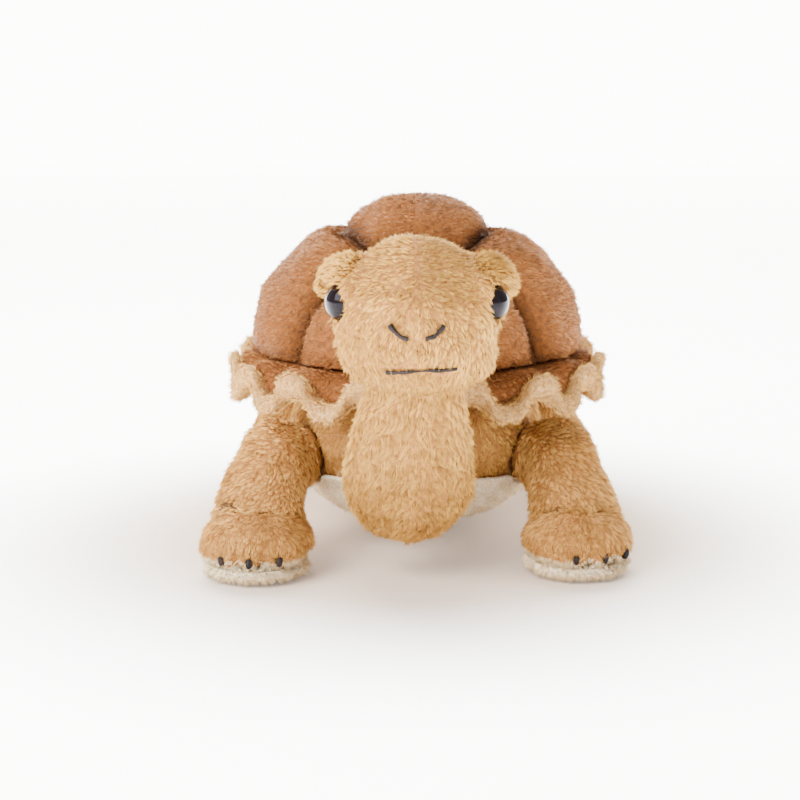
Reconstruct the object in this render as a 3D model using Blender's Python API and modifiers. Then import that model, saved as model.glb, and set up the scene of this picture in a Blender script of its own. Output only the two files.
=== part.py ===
"""Plush turtle with a quilted shell, a ruffled rim, and soft head, neck, legs and tail.

Sizes are in metres. The toy faces -Y, +Z is up, and the soles stand on z = 0.
Places are given in the toy's own layout, where the shell's middle is at
y = shell_middle_y. One empty shifts the layout so that the finished toy is
centred over the origin.
"""

import math

import bmesh
import bpy
from mathutils import Matrix, Vector
from mathutils.bvhtree import BVHTree

# Gaps between touching pieces
seam_gap = 0.0003
ruffle_gap = 0.0005
stuffing_gap = 0.0008
joint_gap = 0.0009

# The shell's quilted dome
shell_middle_y = 0.022
shell_half_width = 0.068
shell_half_length = 0.072
shell_rise = 0.061
shell_seam_height = 0.070
panel_puff = 0.0058
panel_thickness = 0.005
pillow_power = 2.6
front_seam_angle = math.radians(50)
side_seam_angle = math.radians(95)
rear_seam_angle = math.radians(132)
crown_front_angle = math.radians(32)
crown_side_angle = math.radians(90)
crown_rear_angle = math.radians(148)
crown_corner_share = 0.60
crown_side_share = 0.50
panel_steps_across = 9
panel_steps_up = 7
seam_crowding_share = 0.5
crown_sides = 24
crown_rings = 4

# The ruffled rim: a brown plush strip over a tan lining strip
rim_half_width = 0.0750
rim_half_length = 0.086
rim_square_share = 0.85
rim_thickness = 0.0045
rim_reach_shares = (0.0, 0.30, 0.52, 0.67, 0.73)
rim_thickness_shares = (1.0, 1.0, 1.0, 0.75, 0.0)
lining_thickness = 0.0036
lining_lip = 0.0026
lining_reach_shares = (0.0, 0.30, 0.52, 0.67, 0.76, 0.87, 1.0)
lining_thickness_shares = (1.0, 1.0, 1.0, 1.0, 1.0, 0.90, 0.35)
lining_lip_shares = (0.0, 0.0, 0.0, 0.0, 0.0, 1.0, 0.40)
lining_fullness_share = 1.3
rim_drop = 0.0028
rim_drop_power = 1.2
ruffle_depth = 0.0074
ruffle_power = 2.0
ruffle_sway = 0.0022
ruffle_count = 15
ruffle_steps = 7

# The stuffed body under the shell, and its cream belly panel
body_middle_y = 0.017
body_bottom = 0.0115
body_half_width = 0.0515
body_half_length = 0.0705
body_square_share = 0.60
body_height_shares = (1.14, 0.98, 0.80, 0.58, 0.34, 0.12, 0.0)
body_width_shares = (0.0, 0.80, 0.95, 1.0, 0.90, 0.62, 0.0)
belly_height = 0.031
belly_thickness = 0.003

# The neck, with its round root in the chest and its round top in the head
chest_y = -0.050
chest_z = 0.0350
chest_radius = 0.0185
nape_y = -0.096
nape_z = 0.080
nape_radius = 0.0185
neck_bottom = 0.0115
neck_half_width = 0.025
neck_half_depth = 0.020
neck_bulge_y = -0.080
neck_height_shares = (1.14, 1.08, 0.97, 0.84, 0.70, 0.52, 0.34, 0.15, 0.0)
neck_width_shares = (0.0, 0.36, 0.62, 0.765, 0.84, 0.94, 1.0, 0.67, 0.0)
neck_depth_shares = (0.0, 0.45, 0.77, 0.93, 0.96, 1.0, 1.0, 0.80, 0.0)
neck_lean_shares = (1.0, 1.0, 1.0, 0.90, 0.66, 0.30, -0.10, -0.28, -0.40)

# The head and its two brow rolls
head_bottom = 0.072
head_top = 0.127
head_half_width = 0.0290
head_nose_y = -0.135
head_back_y = -0.065
head_height_shares = (1.0, 0.93, 0.80, 0.63, 0.46, 0.29, 0.13, 0.04, 0.0)
head_width_shares = (0.0, 0.48, 0.76, 0.95, 1.0, 0.99, 0.88, 0.59, 0.0)
head_front_shares = (0.42, 0.64, 0.80, 0.92, 1.0, 0.98, 0.90, 0.76, 0.48)
head_rear_shares = (0.42, 0.18, 0.04, 0.0, 0.01, 0.06, 0.16, 0.32, 0.48)
brow_side_share = 0.810
brow_forward_share = 0.515
brow_height_share = 0.700
brow_half_width = 0.0105
brow_half_length = 0.0135
brow_half_height = 0.0098
brow_turn = math.radians(16)
brow_tilt = math.radians(18)

# The eyes, their shanks and the lock washers inside the head
eye_radius = 0.0066
eye_rise = 0.0048
eye_lip = 0.0008
eye_sink = 0.0016
eye_shank_radius = 0.0016
eye_shank_length = 0.0105
eye_forward_share = 0.543
eye_height_share = 0.564
eye_turn = math.radians(77)
eye_lift = math.radians(4)
washer_radius = 0.0052
washer_thickness = 0.0014
washer_depth = 0.0065

# The stitched nostrils and mouth
thread_radius = 0.0008
nostril_inner_x = 0.0028
nostril_outer_x = 0.0086
nostril_low_share = 0.431
nostril_high_share = 0.500
mouth_half_width = 0.0115
mouth_height_share = 0.233
mouth_arch = 0.0002

# The legs: a ball in the body, a stuffed limb, a paw and a sole
front_hip_x = 0.0520
front_hip_y = -0.0375
front_hip_z = 0.036
rear_hip_x = 0.0520
rear_hip_y = 0.071
rear_hip_z = 0.034
hip_radius = 0.0165
leg_half_width = 0.0185
leg_half_depth = 0.0180
left_front_foot_x = 0.0585
left_front_foot_y = -0.0705
right_front_foot_x = 0.0585
right_front_foot_y = -0.0655
rear_foot_x = 0.0585
rear_foot_y = 0.0880
rear_size_share = 0.94
leg_height_shares = (1.0, 0.92, 0.74, 0.50, 0.24, 0.0)
leg_width_shares = (0.0, 0.50, 0.70, 0.86, 0.98, 0.0)
leg_depth_shares = (0.0, 0.66, 0.86, 0.96, 1.0, 0.0)
leg_lean_shares = (0.12, 0.16, 0.32, 0.58, 0.84, 0.94)
leg_bottom = 0.011
leg_reach = 0.0150
paw_half_width = 0.0208
paw_half_depth = 0.0225
paw_bottom = 0.0030
paw_top = 0.0250
paw_height_shares = (1.0, 0.90, 0.55, 0.20, 0.0)
paw_width_shares = (0.0, 0.72, 1.0, 0.94, 0.0)
sole_top = 0.0074
sole_sink = 0.0005
sole_edge_share = 0.965
sole_height_shares = (1.0, 0.86, 0.55, 0.16, 0.0)
sole_width_shares = (0.0, 0.90, 1.0, 0.86, 0.0)
claw_half_width = 0.0013
claw_half_height = 0.0026
claw_half_depth = 0.0016
claw_height = 0.0084
claw_spread = math.radians(29)
left_toe_turn = math.radians(2)
right_toe_turn = math.radians(24)

# The tail
tail_root_sink = 0.0050
tail_root_z = 0.042
tail_root_radius = 0.0095
tail_length = 0.028
tail_drop = 0.009
tail_drop_power = 1.5
tail_height_shares = (-0.18, 0.0, 0.30, 0.60, 0.85, 1.0)
tail_width_shares = (0.0, 0.62, 0.68, 0.52, 0.30, 0.0)

# How finely the round pieces are drawn
limb_sides = 8
paw_sides = 10
body_sides = 12
head_sides = 12
core_sides = 24
core_rings = 12
brow_sides = 8
brow_rings = 6
claw_sides = 6
claw_rings = 5
ball_segments = 16
eye_steps = 16
eye_rings = 6
nostril_points = 6
mouth_points = 10

# Working lengths that don't show
cutter_margin = 0.010
ray_reach = 0.100
merge_distance = 0.00001

# Colours (linear), roughness
shell_brown = (0.433, 0.212, 0.101, 1.0)
body_tan = (0.665, 0.465, 0.235, 1.0)
lining_tan = (0.724, 0.558, 0.328, 1.0)
sole_cream = (0.806, 0.730, 0.610, 1.0)
thread_dark = (0.020, 0.014, 0.018, 1.0)
eye_black = (0.010, 0.007, 0.012, 1.0)
washer_white = (0.800, 0.800, 0.780, 1.0)
stuffing_white = (0.850, 0.850, 0.830, 1.0)


def clear_scene():
    for item in list(bpy.data.objects):
        bpy.data.objects.remove(item, do_unlink=True)


def add_collection(name):
    group = bpy.data.collections.new(name)
    bpy.context.scene.collection.children.link(group)
    return group


def add_material(name, colour, roughness):
    material = bpy.data.materials.new(name)
    material.use_nodes = True
    shader = material.node_tree.nodes["Principled BSDF"]
    shader.inputs["Base Color"].default_value = colour
    shader.inputs["Roughness"].default_value = roughness
    shader.inputs["Metallic"].default_value = 0.0
    material.diffuse_color = colour
    return material


def add_empty(name, spot, holder=None):
    """An empty at a place of the layout, held by another empty."""
    empty = bpy.data.objects.new(name, None)
    parts.objects.link(empty)
    empty.empty_display_size = seam_gap
    if holder:
        empty.parent = holder
        empty.location = Vector(spot) - spots[holder.name]
    spots[name] = Vector(spot)
    return empty


def add_body(name, bm, material, holder, spot):
    """An object from a mesh that is measured from its own spot."""
    bmesh.ops.recalc_face_normals(bm, faces=bm.faces[:])
    if bm.calc_volume(signed=True) < 0:
        bmesh.ops.reverse_faces(bm, faces=bm.faces[:])
    mesh = bpy.data.meshes.new(name)
    bm.to_mesh(mesh)
    bm.free()
    item = bpy.data.objects.new(name, mesh)
    item.parent = holder
    item.location = Vector(spot) - spots[holder.name]
    if material:
        mesh.materials.append(material)
        mesh.shade_smooth()
        parts.objects.link(item)
    else:
        item.hide_render = True
        item.display_type = "WIRE"
        cutters.objects.link(item)
    spots[name] = Vector(spot)
    return item


def smooth_cage(item, levels=1):
    """Subdivision Surface over a coarse cage."""
    soft = item.modifiers.new("soft", "SUBSURF")
    soft.levels = levels
    soft.render_levels = levels


def grow(item, distance):
    """Swell a cutter by a clearance along its normals."""
    swell = item.modifiers.new("clearance", "DISPLACE")
    swell.strength = distance
    swell.mid_level = 0.0


def combine(item, other, operation):
    tool = item.modifiers.new(other.name, "BOOLEAN")
    tool.operation = operation
    tool.object = other
    tool.solver = "EXACT"


def cut(item, other):
    combine(item, other, "DIFFERENCE")


def evaluated_points(item):
    bpy.context.view_layer.update()
    graph = bpy.context.evaluated_depsgraph_get()
    mesh = item.evaluated_get(graph).to_mesh()
    points = [vertex.co.copy() for vertex in mesh.vertices]
    item.evaluated_get(graph).to_mesh_clear()
    return points


def power(value, share):
    """A cosine or sine squared off towards a rounded box."""
    return math.copysign(abs(value) ** share, value)


def fit_box(item, low, high):
    """Stretch a cage so that its smoothed surface fills the box."""
    points = evaluated_points(item)
    for axis in range(3):
        least = min(point[axis] for point in points)
        most = max(point[axis] for point in points)
        scale = (high[axis] - low[axis]) / (most - least)
        for vertex in item.data.vertices:
            vertex.co[axis] = low[axis] + (vertex.co[axis] - least) * scale
    item.data.update()


def stuffed_mesh(stations, sides, square_share, upright):
    """A sphere whose rings are moved to the stations: (middle, half width, half depth).

    Upright forms are stacked from the top down, the others from the front back.
    """
    bm = bmesh.new()
    rows = len(stations) - 1
    bmesh.ops.create_uvsphere(bm, u_segments=sides, v_segments=rows, radius=1)
    for vertex in bm.verts:
        row = round(math.acos(max(-1, min(1, vertex.co.z))) / math.pi * rows)
        middle, half_width, half_depth = stations[row]
        angle = math.atan2(vertex.co.y, vertex.co.x)
        across = half_width * power(math.cos(angle), square_share)
        along = half_depth * power(math.sin(angle), square_share)
        if upright:
            vertex.co = Vector(middle) + Vector((across, along, 0))
        else:
            vertex.co = Vector(middle) + Vector((across, 0, along))
    return bm


def station_box(stations, upright):
    """The box that the stations reach."""
    depth_axis = 1 if upright else 2
    low = Vector(stations[0][0])
    high = Vector(stations[0][0])
    for middle, half_width, half_depth in stations:
        reach = Vector((half_width, 0, 0))
        reach[depth_axis] = half_depth
        for axis in range(3):
            low[axis] = min(low[axis], middle[axis] - reach[axis])
            high[axis] = max(high[axis], middle[axis] + reach[axis])
    return low, high


def stuffed_form(name, stations, sides, material, holder, spot, square_share=1.0, upright=True):
    """A stuffed form from a coarse cage, true to its stations' box."""
    local = [(Vector(middle) - Vector(spot), width, depth) for middle, width, depth in stations]
    bm = stuffed_mesh(local, sides, square_share, upright)
    item = add_body(name, bm, material, holder, spot)
    smooth_cage(item)
    low, high = station_box(local, upright)
    fit_box(item, low, high)
    return item


def swollen_copy(item, name, distance):
    """A cutter: the form's smoothed cage, swollen by a distance."""
    copy = bpy.data.objects.new(name, item.data)
    copy.parent = item.parent
    copy.location = item.location
    copy.rotation_euler = item.rotation_euler
    copy.hide_render = True
    copy.display_type = "WIRE"
    cutters.objects.link(copy)
    smooth_cage(copy)
    grow(copy, distance)
    return copy


def ball(name, spot, radius, holder):
    """A ball of a joint, as a cutter or as a piece to join."""
    bm = bmesh.new()
    rings = ball_segments // 2
    bmesh.ops.create_uvsphere(bm, u_segments=ball_segments, v_segments=rings, radius=radius)
    return add_body(name, bm, None, holder, spot)


def block(name, low, high, holder):
    """A box-shaped cutter between two corners."""
    bm = bmesh.new()
    middle = (Vector(low) + Vector(high)) / 2
    size = Vector(high) - Vector(low)
    bmesh.ops.create_cube(bm, size=1)
    bmesh.ops.scale(bm, vec=size, verts=bm.verts[:])
    return add_body(name, bm, None, holder, middle)


def sheet_body(name, bm, place, material, holder, spot):
    """A flat sheet given two sides, each vertex then moved to its place."""
    made = bmesh.ops.extrude_face_region(bm, geom=bm.faces[:])
    for vertex in made["geom"]:
        if isinstance(vertex, bmesh.types.BMVert):
            vertex.co.z = -1
    for vertex in bm.verts:
        inner = vertex.co.z < 0
        vertex.co = place(vertex.co.x, vertex.co.y, inner) - Vector(spot)
    return add_body(name, bm, material, holder, spot)


def ring_sheet(sides, rings, closed):
    """A flat ring of faces, or a disc, with radius 1 at its outer edge."""
    bm = bmesh.new()
    first = 1 / rings if closed else 1
    bmesh.ops.create_circle(bm, cap_ends=closed, cap_tris=closed, segments=sides, radius=first)
    start = 1 if closed else 0
    edge = [e for e in bm.edges if len(e.link_faces) < 2]
    for step in range(start, rings):
        made = bmesh.ops.extrude_edge_only(bm, edges=edge)
        edge = [item for item in made["geom"] if isinstance(item, bmesh.types.BMEdge)]
        verts = [item for item in made["geom"] if isinstance(item, bmesh.types.BMVert)]
        reach = (step + 1) / rings if closed else 1 + (step + 1) / rings
        for vertex in verts:
            vertex.co = vertex.co.normalized() * reach
    return bm


def on_dome(angle, share):
    """A direction on the unit dome: angle round from the front, share out from the top."""
    height = math.sqrt(max(0, 1 - share * share))
    return Vector((share * math.sin(angle), -share * math.cos(angle), height))


def dome_point(direction, inset):
    """A point on the dome, inset (or swollen) from the seams' surface."""
    return Vector((
        direction.x * (seam_half_width - inset),
        shell_middle_y + direction.y * (seam_half_length - inset),
        shell_seam_height + direction.z * (seam_rise - inset),
    ))


def pillow(share):
    """Height of a pillow across its width, from 0 at a seam to 1 in the middle."""
    return math.sqrt(max(0, 1 - abs(2 * share - 1) ** pillow_power))


def eased(share):
    """Points across a panel drawn closer together at its seams."""
    crowded = 0.5 - 0.5 * math.cos(math.pi * share)
    return share + (crowded - share) * seam_crowding_share


def shell_panel(name, corners):
    """A quilted panel between two seams, the rim and the crown.

    The corners are (angle, share) at the lower left, lower right,
    upper right and upper left.
    """
    low_left, low_right, high_right, high_left = corners
    top_width = (dome_point(on_dome(*high_right), 0) - dome_point(on_dome(*high_left), 0)).length
    side_length = (dome_point(on_dome(*high_right), 0) - dome_point(on_dome(*low_right), 0)).length
    margin_across = seam_gap / top_width
    margin_up = seam_gap / side_length

    def place(x, y, inner):
        across = eased(x + 0.5)
        up = eased(y + 0.5)
        u = margin_across + across * (1 - 2 * margin_across)
        v = up * (1 - margin_up)
        low = on_dome(low_left[0] + u * (low_right[0] - low_left[0]), 1)
        high = on_dome(*high_left).lerp(on_dome(*high_right), u).normalized()
        direction = low.lerp(high, v).normalized()
        if inner:
            return dome_point(direction, panel_thickness)
        return dome_point(direction, -panel_puff * pillow(across) * pillow(up))

    bm = bmesh.new()
    bmesh.ops.create_grid(bm, x_segments=panel_steps_across, y_segments=panel_steps_up, size=0.5)
    return sheet_body(name, bm, place, brown_plush, root, (0, shell_middle_y, shell_seam_height))


def crown_edge(turn):
    """The crown's outline: straight seams between its six corners."""
    corners = [
        (-crown_front_angle, crown_corner_share),
        (crown_front_angle, crown_corner_share),
        (crown_side_angle, crown_side_share),
        (crown_rear_angle, crown_corner_share),
        (2 * math.pi - crown_rear_angle, crown_corner_share),
        (2 * math.pi - crown_side_angle, crown_side_share),
        (2 * math.pi - crown_front_angle, crown_corner_share),
    ]
    turn = (turn + crown_front_angle) % (2 * math.pi) - crown_front_angle
    for start, end in zip(corners, corners[1:]):
        if turn <= end[0]:
            share = (turn - start[0]) / (end[0] - start[0])
            return on_dome(*start).lerp(on_dome(*end), share).normalized()
    return on_dome(*corners[0])


def crown_panel():
    """The panel on top of the shell."""
    margin = seam_gap / (crown_side_share * seam_half_width)
    top = Vector((0, 0, 1))

    def place(x, y, inner):
        out = math.hypot(x, y)
        if out == 0:
            direction = top
        else:
            turn = math.atan2(x, -y)
            reach = math.sin(out * math.pi / 2) * (1 - margin)
            direction = top.lerp(crown_edge(turn), reach).normalized()
        if inner:
            return dome_point(direction, panel_thickness)
        return dome_point(direction, -panel_puff * pillow(0.5 + 0.5 * math.sin(out * math.pi / 2)))

    bm = ring_sheet(crown_sides, crown_rings, True)
    spot = (0, shell_middle_y, shell_seam_height)
    return sheet_body("shell_crown_panel", bm, place, brown_plush, root, spot)


def shell_core():
    """The shell's stuffing: a half dome with a short upright foot."""
    bm = bmesh.new()
    bmesh.ops.create_uvsphere(bm, u_segments=core_sides, v_segments=core_rings, radius=1)
    equator = core_rings // 2
    for vertex in bm.verts:
        ring = round(math.acos(max(-1, min(1, vertex.co.z))) / math.pi * core_rings)
        around = Vector((vertex.co.x, vertex.co.y))
        height = vertex.co.z * core_rise
        if ring > equator:
            height = core_bottom - shell_seam_height
        if ring == equator + 1:
            around.normalize()
        vertex.co = Vector((around.x * core_half_width, around.y * core_half_length, height))
    return add_body("shell_stuffing", bm, white_stuffing, root, (0, shell_middle_y, shell_seam_height))


def outline_point(angle, half_width, half_length, square_share):
    """A point of a rounded outline round the shell, the front at angle 0."""
    across = half_width * power(math.sin(angle), square_share)
    along = half_length * power(math.cos(angle), square_share)
    return Vector((across, shell_middle_y - along, 0))


def ruffle_layer(name, material, reach_shares, thickness_shares, lip_shares):
    """One layer of the ruffled rim: waves that grow from the seam to the free edge.

    The brown strip has no lip. The lining lies under it and rises beyond its edge.
    """
    upper = not any(lip_shares)
    rings = len(reach_shares) - 1

    def place(x, y, inner):
        angle = math.atan2(x, -y)
        ring = round((math.hypot(x, y) - 1) * rings)
        out = reach_shares[ring]
        start = outline_point(angle, core_half_width + seam_gap, core_half_length + seam_gap, 1)
        end = outline_point(angle, rim_half_width, rim_half_length, rim_square_share)
        wave = -math.cos(ruffle_count * angle)
        along = (end - start).normalized()
        side = Vector((-along.y, along.x, 0))
        sway = ruffle_sway * out * math.sin(2 * ruffle_count * angle)
        point = start.lerp(end, out) + side * sway
        point.z = rim_middle_height - rim_drop * out ** rim_drop_power
        point.z += ruffle_depth * wave * out ** ruffle_power
        if upper:
            point.z += 0 if inner else rim_thickness * thickness_shares[ring]
        elif inner:
            fullness = 1 + lining_fullness_share * (0.5 + 0.5 * wave) * out ** ruffle_power
            point.z -= ruffle_gap + lining_thickness * fullness * thickness_shares[ring]
        else:
            point.z += lining_lip * lip_shares[ring] - ruffle_gap
        return point

    bm = ring_sheet(ruffle_count * ruffle_steps, rings, False)
    return sheet_body(name, bm, place, material, root, (0, shell_middle_y, rim_middle_height))


def shell():
    """The quilted shell and its ruffled rim."""
    rim = 1
    crown_left = (-crown_front_angle, crown_corner_share)
    crown_right = (crown_front_angle, crown_corner_share)
    side_right = (crown_side_angle, crown_side_share)
    side_left = (-crown_side_angle, crown_side_share)
    rear_right = (crown_rear_angle, crown_corner_share)
    rear_left = (-crown_rear_angle, crown_corner_share)
    full = 2 * math.pi
    shell_panel("shell_front_panel", (
        (-front_seam_angle, rim), (front_seam_angle, rim), crown_right, crown_left))
    shell_panel("shell_right_front_panel", (
        (front_seam_angle, rim), (side_seam_angle, rim), side_right, crown_right))
    shell_panel("shell_right_rear_panel", (
        (side_seam_angle, rim), (rear_seam_angle, rim), rear_right, side_right))
    shell_panel("shell_rear_panel", (
        (rear_seam_angle, rim), (full - rear_seam_angle, rim), rear_left, rear_right))
    shell_panel("shell_left_rear_panel", (
        (-rear_seam_angle, rim), (-side_seam_angle, rim), side_left, rear_left))
    shell_panel("shell_left_front_panel", (
        (-side_seam_angle, rim), (-front_seam_angle, rim), crown_left, side_left))
    crown_panel()
    core = shell_core()
    no_lip_shares = (0.0,) * len(rim_reach_shares)
    rim_shares = (rim_reach_shares, rim_thickness_shares, no_lip_shares)
    lining_shares = (lining_reach_shares, lining_thickness_shares, lining_lip_shares)
    ruffle_layer("shell_rim", brown_plush, *rim_shares)
    ruffle_layer("rim_lining", lining_plush, *lining_shares)
    return core


def body_stations():
    height = core_bottom - body_bottom
    rows = []
    for up, wide in zip(body_height_shares, body_width_shares):
        middle = Vector((0, body_middle_y, body_bottom + up * height))
        rows.append((middle, wide * body_half_width, wide * body_half_length))
    return rows


def torso():
    """The tan body, flat on top under the shell, and the cream belly panel."""
    spot = (0, body_middle_y, body_bottom)
    body = stuffed_form("body", body_stations(), body_sides, tan_plush, root, spot, body_square_share)
    belly = swollen_copy(body, "belly_panel", seam_gap + belly_thickness)
    cutters.objects.unlink(belly)
    parts.objects.link(belly)
    belly.data = body.data.copy()
    belly.data.materials.clear()
    belly.data.materials.append(cream_plush)
    belly.hide_render = False
    belly.display_type = "TEXTURED"
    spots["belly_panel"] = Vector(spot)
    reach = body_half_length + cutter_margin
    far_corner = (reach, reach + body_middle_y, head_top)
    cut(body, block("shell_base_cutter", (-reach, -reach, core_bottom - seam_gap), far_corner, root))
    cut(belly, swollen_copy(body, "belly_inside_cutter", seam_gap))
    cut(belly, block("belly_edge_cutter", (-reach, -reach, belly_height), far_corner, root))
    return body, belly


def neck_and_head(body, belly):
    chest = (0, chest_y, chest_z)
    nape = (0, nape_y, nape_z)
    neck_holder = add_empty("neck_joint", chest, root)
    head_holder = add_empty("head_joint", nape, neck_holder)
    rows = []
    neck_shares = zip(neck_height_shares, neck_width_shares, neck_depth_shares, neck_lean_shares)
    for up, wide, deep, lean in neck_shares:
        y = neck_bulge_y + lean * (nape_y - neck_bulge_y)
        middle = Vector((0, y, neck_bottom + up * (nape_z - neck_bottom)))
        rows.append((middle, wide * neck_half_width, deep * neck_half_depth))
    neck = stuffed_form("neck", rows, paw_sides, tan_plush, neck_holder, chest)
    combine(neck, ball("chest_ball", chest, chest_radius, neck_holder), "UNION")
    combine(neck, ball("nape_ball", nape, nape_radius, neck_holder), "UNION")
    socket = ball("chest_socket", chest, chest_radius + joint_gap, neck_holder)
    cut(body, socket)
    cut(belly, socket)

    rows = []
    head_shares = zip(head_height_shares, head_width_shares, head_front_shares, head_rear_shares)
    for up, wide, front, rear in head_shares:
        near = head_back_y + front * head_length
        far = head_back_y + rear * head_length
        middle = Vector((0, (near + far) / 2, head_bottom + up * head_height))
        rows.append((middle, wide * head_half_width, (far - near) / 2))
    head = stuffed_form("head", rows, head_sides, tan_plush, head_holder, nape)
    head_surface = surface_of(head)
    brow_gap = swollen_copy(head, "head_clearance", seam_gap)
    brow_cutters = []
    for side, x in (("left", -1), ("right", 1)):
        brow = brow_roll(side, x, head_holder)
        brow_cutters.append((x, brow, swollen_copy(brow, side + "_brow_clearance", seam_gap)))
        cut(brow, brow_gap)
    for x, brow, brow_cutter in brow_cutters:
        side = "left" if x < 0 else "right"
        eye_and_washer(side, x, head, brow, head_surface, head_holder)
    cut(head, ball("nape_socket", nape, nape_radius + joint_gap, head_holder))
    face_stitches(head_surface, brow_gap, head_holder)
    return neck, head


def brow_roll(side, x, holder):
    spot = Vector((x * brow_x, brow_y, brow_z))
    bm = bmesh.new()
    bmesh.ops.create_uvsphere(bm, u_segments=brow_sides, v_segments=brow_rings, radius=1)
    size = Vector((brow_half_width, brow_half_length, brow_half_height))
    bmesh.ops.rotate(bm, matrix=Matrix.Rotation(math.pi / 2, 3, "X"), verts=bm.verts[:])
    bmesh.ops.scale(bm, vec=size, verts=bm.verts[:])
    brow = add_body(side + "_brow", bm, tan_plush, holder, spot)
    smooth_cage(brow)
    fit_box(brow, -size, size)
    turn = Matrix.Rotation(x * brow_turn, 3, "Z") @ Matrix.Rotation(brow_tilt, 3, "X")
    brow.rotation_euler = turn.to_euler()
    return brow


def surface_of(item):
    """The form's smoothed surface, to seat small pieces on."""
    bpy.context.view_layer.update()
    graph = bpy.context.evaluated_depsgraph_get()
    mesh = item.evaluated_get(graph).to_mesh()
    points = [item.matrix_world @ vertex.co for vertex in mesh.vertices]
    faces = [tuple(face.vertices) for face in mesh.polygons]
    item.evaluated_get(graph).to_mesh_clear()
    return BVHTree.FromPolygons(points, faces)


def seat_on(surface, inside, direction):
    """Where a line from inside the form leaves its surface, in the layout's places."""
    shift = root.location
    start = Vector(inside) + shift + direction * ray_reach
    hit = surface.ray_cast(start, -direction)
    return hit[0] - shift


def turned(name, profile, material, holder, spot, direction, steps):
    """A turned piece about the direction, from an outline of (radius, height)."""
    bm = bmesh.new()
    verts = [bm.verts.new((radius, 0, height)) for radius, height in profile]
    for first, second in zip(verts, verts[1:]):
        bm.edges.new((first, second))
    mesh = bpy.data.meshes.new(name)
    bm.to_mesh(mesh)
    bm.free()
    item = bpy.data.objects.new(name, mesh)
    item.parent = holder
    item.location = Vector(spot) - spots[holder.name]
    item.rotation_euler = direction.to_track_quat("Z", "Y").to_euler()
    screw = item.modifiers.new("turn", "SCREW")
    screw.steps = steps
    screw.render_steps = steps
    screw.use_merge_vertices = True
    screw.merge_threshold = merge_distance
    screw.use_smooth_shade = True
    if material:
        mesh.materials.append(material)
        parts.objects.link(item)
    else:
        item.hide_render = True
        item.display_type = "WIRE"
        cutters.objects.link(item)
    return item


def eye_and_washer(side, x, head, brow, surface, holder):
    """A domed eye on its shank, the hole it sits in, and the washer that locks it."""
    direction = Vector((
        x * math.sin(eye_turn) * math.cos(eye_lift),
        -math.cos(eye_turn) * math.cos(eye_lift),
        math.sin(eye_lift),
    ))
    seat = seat_on(surface, (0, eye_y, eye_z), direction) - direction * eye_sink
    profile = []
    for ring in range(eye_rings + 1):
        turn = ring / eye_rings * math.pi / 2
        profile.append((eye_radius * math.sin(turn), eye_lip + eye_rise * math.cos(turn)))
    profile.append((eye_radius, 0))
    profile.append((eye_shank_radius, 0))
    profile.append((eye_shank_radius, -eye_shank_length))
    profile.append((0, -eye_shank_length))
    turned(side + "_eye", profile, gloss_black, holder, seat, direction, eye_steps)

    top = -washer_depth
    bottom = top - washer_thickness
    bore = eye_shank_radius + seam_gap
    washer = [(bore, top), (washer_radius, top), (washer_radius, bottom), (bore, bottom), (bore, top)]
    turned(side + "_eye_washer", washer, washer_plastic, holder, seat, direction, eye_steps)

    wide = eye_radius + seam_gap
    open_end = cutter_margin
    hole = [
        (0, open_end),
        (wide, open_end),
        (wide, -seam_gap),
        (bore, -seam_gap),
        (bore, top + seam_gap),
        (washer_radius + seam_gap, top + seam_gap),
        (washer_radius + seam_gap, bottom - seam_gap),
        (bore, bottom - seam_gap),
        (bore, -eye_shank_length - seam_gap),
        (0, -eye_shank_length - seam_gap),
    ]
    cutter = turned(side + "_eye_hole", hole, None, holder, seat, direction, eye_steps)
    cut(head, cutter)
    cut(brow, cutter)


def thread_line(name, run, holder, clearance):
    """A stitched thread: a bevelled curve turned to a mesh, trimmed by the form below."""
    spot = run[0]
    curve = bpy.data.curves.new(name, "CURVE")
    curve.dimensions = "3D"
    curve.bevel_depth = thread_radius
    curve.bevel_resolution = 1
    curve.use_fill_caps = True
    spline = curve.splines.new("POLY")
    spline.points.add(len(run) - 1)
    for point, place in zip(spline.points, run):
        local = Vector(place) - Vector(spot)
        point.co = (local.x, local.y, local.z, 1)
    guide = bpy.data.objects.new(name + "_guide", curve)
    parts.objects.link(guide)
    guide.parent = holder
    guide.location = Vector(spot) - spots[holder.name]
    bpy.context.view_layer.update()
    graph = bpy.context.evaluated_depsgraph_get()
    mesh = bpy.data.meshes.new_from_object(guide.evaluated_get(graph))
    bm = bmesh.new()
    bm.from_mesh(mesh)
    bmesh.ops.remove_doubles(bm, verts=bm.verts[:], dist=merge_distance)
    item = add_body(name, bm, dark_thread, holder, spot)
    bpy.data.objects.remove(guide, do_unlink=True)
    cut(item, clearance)
    return item


def face_stitches(surface, clearance, holder):
    """Two curved nostrils and one mouth line, laid on the head's front."""
    front = Vector((0, -1, 0))
    for side, x in (("left", -1), ("right", 1)):
        run = []
        for step in range(nostril_points):
            share = step / (nostril_points - 1)
            across = nostril_inner_x + (nostril_outer_x - nostril_inner_x) * share
            height = nostril_low_z + (nostril_high_z - nostril_low_z) * share ** 2
            run.append(seat_on(surface, (x * across, nape_y, height), front))
        thread_line(side + "_nostril_stitch", run, holder, clearance)
    run = []
    for step in range(mouth_points):
        share = 2 * step / (mouth_points - 1) - 1
        height = mouth_z + mouth_arch * math.cos(share * math.pi)
        run.append(seat_on(surface, (share * mouth_half_width, nape_y, height), front))
    thread_line("mouth_stitch", run, holder, clearance)


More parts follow.
